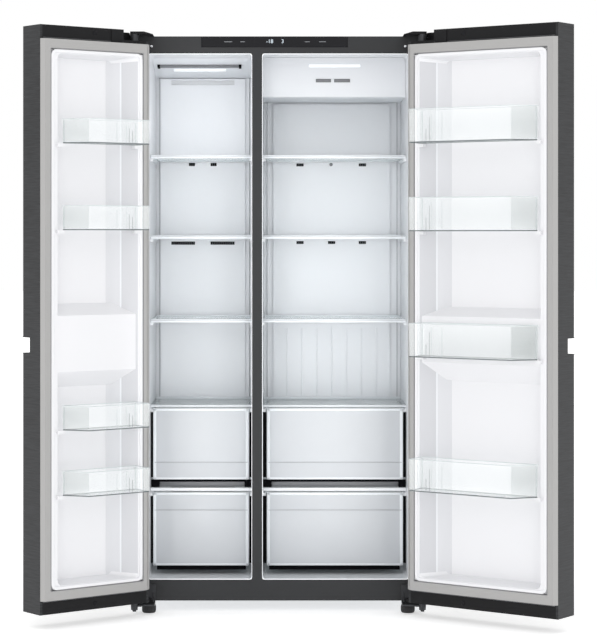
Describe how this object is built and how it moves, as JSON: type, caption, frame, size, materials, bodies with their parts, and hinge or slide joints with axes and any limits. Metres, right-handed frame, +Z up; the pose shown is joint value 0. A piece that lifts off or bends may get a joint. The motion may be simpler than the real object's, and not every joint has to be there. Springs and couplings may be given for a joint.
{
  "type": "side-by-side refrigerator",
  "caption": "Side-by-side refrigerator with both doors open: freezer left, fridge right, sliding glass shelves and clear drawers, lift-out door baskets and a cooling set behind.",
  "frame": {"origin": "on the floor, under the middle of the whole object's footprint as it stands with both doors open", "axes": "+Z up; the doors and mouths face -Y, the machine room is at +Y, and the fridge compartment is on the +X side"},
  "size_m": [1.6384, 1.0467, 1.79],
  "materials": {
    "dark_steel": "satin dark grey paint",
    "inox_skin": "satin inox-look paint on steel sheet",
    "galvanised": "plain zinc-coated sheet",
    "foam": "cut foam",
    "liner_white": "smooth satin",
    "panel_white": "smooth satin",
    "clear_plastic": "clear, glossy",
    "shelf_glass": "clear toughened glass with pale edges",
    "trim_dark": "gloss black",
    "cap_black": "fine grain",
    "gasket_grey": "soft matt",
    "lamp_lens": "frosted",
    "fin_metal": "bright rolled",
    "heater_metal": "drawn tube",
    "hinge_steel": "zinc plated",
    "motor_black": "gloss black enamel",
    "copper_pipe": "drawn copper tube",
    "fan_plastic": "fine grain",
    "tray_grey": "fine grain",
    "foot_black": "hard nylon"
  },
  "bodies": {
    "cabinet": {"cabinet_shell": "dark_steel", "front_frame": "dark_steel", "base_frame": "galvanised", "back_panel": "galvanised", "cabinet_foam": "foam", "freezer_liner": "liner_white", "fridge_liner": "liner_white", "control_panel": "trim_dark", "interior_lamps": "lamp_lens", "evaporator_cover": "panel_white", "air_duct_panel": "panel_white", "drawer_covers": "shelf_glass", "drawer_frames": "clear_plastic", "evaporator": "fin_metal", "defrost_heater": "heater_metal", "fan_motors": "motor_black", "compressor": "motor_black", "condenser": "fin_metal", "drain_pan": "tray_grey", "machine_cover": "galvanised", "refrigerant_tube": "copper_pipe", "door_hinges": "hinge_steel", "hinge_covers": "cap_black", "roller_brackets": "galvanised"},
    "left_door": {"left_door_shell": "inox_skin", "left_door_caps": "cap_black", "left_door_liner": "liner_white", "left_door_foam": "foam", "left_door_gasket": "gasket_grey", "left_handle_pocket": "cap_black"},
    "right_door": {"right_door_shell": "inox_skin", "right_door_caps": "cap_black", "right_door_liner": "liner_white", "right_door_foam": "foam", "right_door_gasket": "gasket_grey", "right_handle_pocket": "cap_black"},
    "freezer_shelf_1": {"freezer_shelf_1": "shelf_glass"},
    "freezer_shelf_2": {"freezer_shelf_2": "shelf_glass"},
    "freezer_shelf_3": {"freezer_shelf_3": "shelf_glass"},
    "freezer_upper_drawer": {"freezer_upper_drawer": "clear_plastic"},
    "freezer_lower_drawer": {"freezer_lower_drawer": "clear_plastic"},
    "fridge_shelf_1": {"fridge_shelf_1": "shelf_glass"},
    "fridge_shelf_2": {"fridge_shelf_2": "shelf_glass"},
    "fridge_shelf_3": {"fridge_shelf_3": "shelf_glass"},
    "fridge_upper_drawer": {"fridge_upper_drawer": "clear_plastic"},
    "fridge_lower_drawer": {"fridge_lower_drawer": "clear_plastic"},
    "left_basket_1": {"left_basket_1": "clear_plastic"},
    "left_basket_2": {"left_basket_2": "clear_plastic"},
    "left_basket_3": {"left_basket_3": "clear_plastic"},
    "left_basket_4": {"left_basket_4": "clear_plastic"},
    "right_basket_1": {"right_basket_1": "clear_plastic"},
    "right_basket_2": {"right_basket_2": "clear_plastic"},
    "right_basket_3": {"right_basket_3": "clear_plastic"},
    "right_basket_4": {"right_basket_4": "clear_plastic"},
    "left_foot": {"left_foot": "foot_black"},
    "left_roller": {"left_roller": "foot_black"},
    "right_foot": {"right_foot": "foot_black"},
    "right_roller": {"right_roller": "foot_black"},
    "evaporator_fan": {"evaporator_fan": "fan_plastic"},
    "condenser_fan": {"condenser_fan": "fan_plastic"}
  },
  "joints": [
    {"name": "left_door_hinge", "type": "hinge", "parent": "cabinet", "child": "left_door", "pos_m": [-0.4975, -0.1667, 0.9], "axis": [0, 0, -1], "range_deg": [-142.2, 0]},
    {"name": "right_door_hinge", "type": "hinge", "parent": "cabinet", "child": "right_door", "pos_m": [0.3861, -0.1667, 0.9], "axis": [0, 0, 1], "range_deg": [-143.9, 0]},
    {"name": "freezer_shelf_1_slide", "type": "slide", "parent": "cabinet", "child": "freezer_shelf_1", "axis": [0, -1, 0], "range_m": [0, 0.19]},
    {"name": "freezer_shelf_2_slide", "type": "slide", "parent": "cabinet", "child": "freezer_shelf_2", "axis": [0, -1, 0], "range_m": [0, 0.19]},
    {"name": "freezer_shelf_3_slide", "type": "slide", "parent": "cabinet", "child": "freezer_shelf_3", "axis": [0, -1, 0], "range_m": [0, 0.19]},
    {"name": "freezer_upper_drawer_slide", "type": "slide", "parent": "cabinet", "child": "freezer_upper_drawer", "axis": [0, -1, 0], "range_m": [0, 0.19]},
    {"name": "freezer_lower_drawer_slide", "type": "slide", "parent": "cabinet", "child": "freezer_lower_drawer", "axis": [0, -1, 0], "range_m": [0, 0.19]},
    {"name": "fridge_shelf_1_slide", "type": "slide", "parent": "cabinet", "child": "fridge_shelf_1", "axis": [0, -1, 0], "range_m": [0, 0.19]},
    {"name": "fridge_shelf_2_slide", "type": "slide", "parent": "cabinet", "child": "fridge_shelf_2", "axis": [0, -1, 0], "range_m": [0, 0.19]},
    {"name": "fridge_shelf_3_slide", "type": "slide", "parent": "cabinet", "child": "fridge_shelf_3", "axis": [0, -1, 0], "range_m": [0, 0.19]},
    {"name": "fridge_upper_drawer_slide", "type": "slide", "parent": "cabinet", "child": "fridge_upper_drawer", "axis": [0, -1, 0], "range_m": [0, 0.19]},
    {"name": "fridge_lower_drawer_slide", "type": "slide", "parent": "cabinet", "child": "fridge_lower_drawer", "axis": [0, -1, 0], "range_m": [0, 0.19]},
    {"name": "left_basket_1_slide", "type": "slide", "parent": "left_door", "child": "left_basket_1", "axis": [0, 0, 1], "range_m": [0, 0.03]},
    {"name": "left_basket_2_slide", "type": "slide", "parent": "left_door", "child": "left_basket_2", "axis": [0, 0, 1], "range_m": [0, 0.03]},
    {"name": "left_basket_3_slide", "type": "slide", "parent": "left_door", "child": "left_basket_3", "axis": [0, 0, 1], "range_m": [0, 0.03]},
    {"name": "left_basket_4_slide", "type": "slide", "parent": "left_door", "child": "left_basket_4", "axis": [0, 0, 1], "range_m": [0, 0.03]},
    {"name": "right_basket_1_slide", "type": "slide", "parent": "right_door", "child": "right_basket_1", "axis": [0, 0, 1], "range_m": [0, 0.03]},
    {"name": "right_basket_2_slide", "type": "slide", "parent": "right_door", "child": "right_basket_2", "axis": [0, 0, 1], "range_m": [0, 0.03]},
    {"name": "right_basket_3_slide", "type": "slide", "parent": "right_door", "child": "right_basket_3", "axis": [0, 0, 1], "range_m": [0, 0.03]},
    {"name": "right_basket_4_slide", "type": "slide", "parent": "right_door", "child": "right_basket_4", "axis": [0, 0, 1], "range_m": [0, 0.03]},
    {"name": "left_foot_slide", "type": "slide", "parent": "cabinet", "child": "left_foot", "axis": [0, 0, -1], "range_m": [0, 0.012]},
    {"name": "left_roller_spin", "type": "hinge", "parent": "cabinet", "child": "left_roller", "pos_m": [-0.4507, 0.4634, 0.016], "axis": [1, 0, 0], "continuous": true},
    {"name": "right_foot_slide", "type": "slide", "parent": "cabinet", "child": "right_foot", "axis": [0, 0, -1], "range_m": [0, 0.012]},
    {"name": "right_roller_spin", "type": "hinge", "parent": "cabinet", "child": "right_roller", "pos_m": [0.3393, 0.4634, 0.016], "axis": [1, 0, 0], "continuous": true},
    {"name": "evaporator_fan_spin", "type": "hinge", "parent": "cabinet", "child": "evaporator_fan", "pos_m": [-0.3037, 0.3734, 0.76], "axis": [0, 1, 0], "continuous": true},
    {"name": "condenser_fan_spin", "type": "hinge", "parent": "cabinet", "child": "condenser_fan", "pos_m": [-0.1157, 0.4354, 0.14], "axis": [1, 0, 0], "continuous": true}
  ]
}
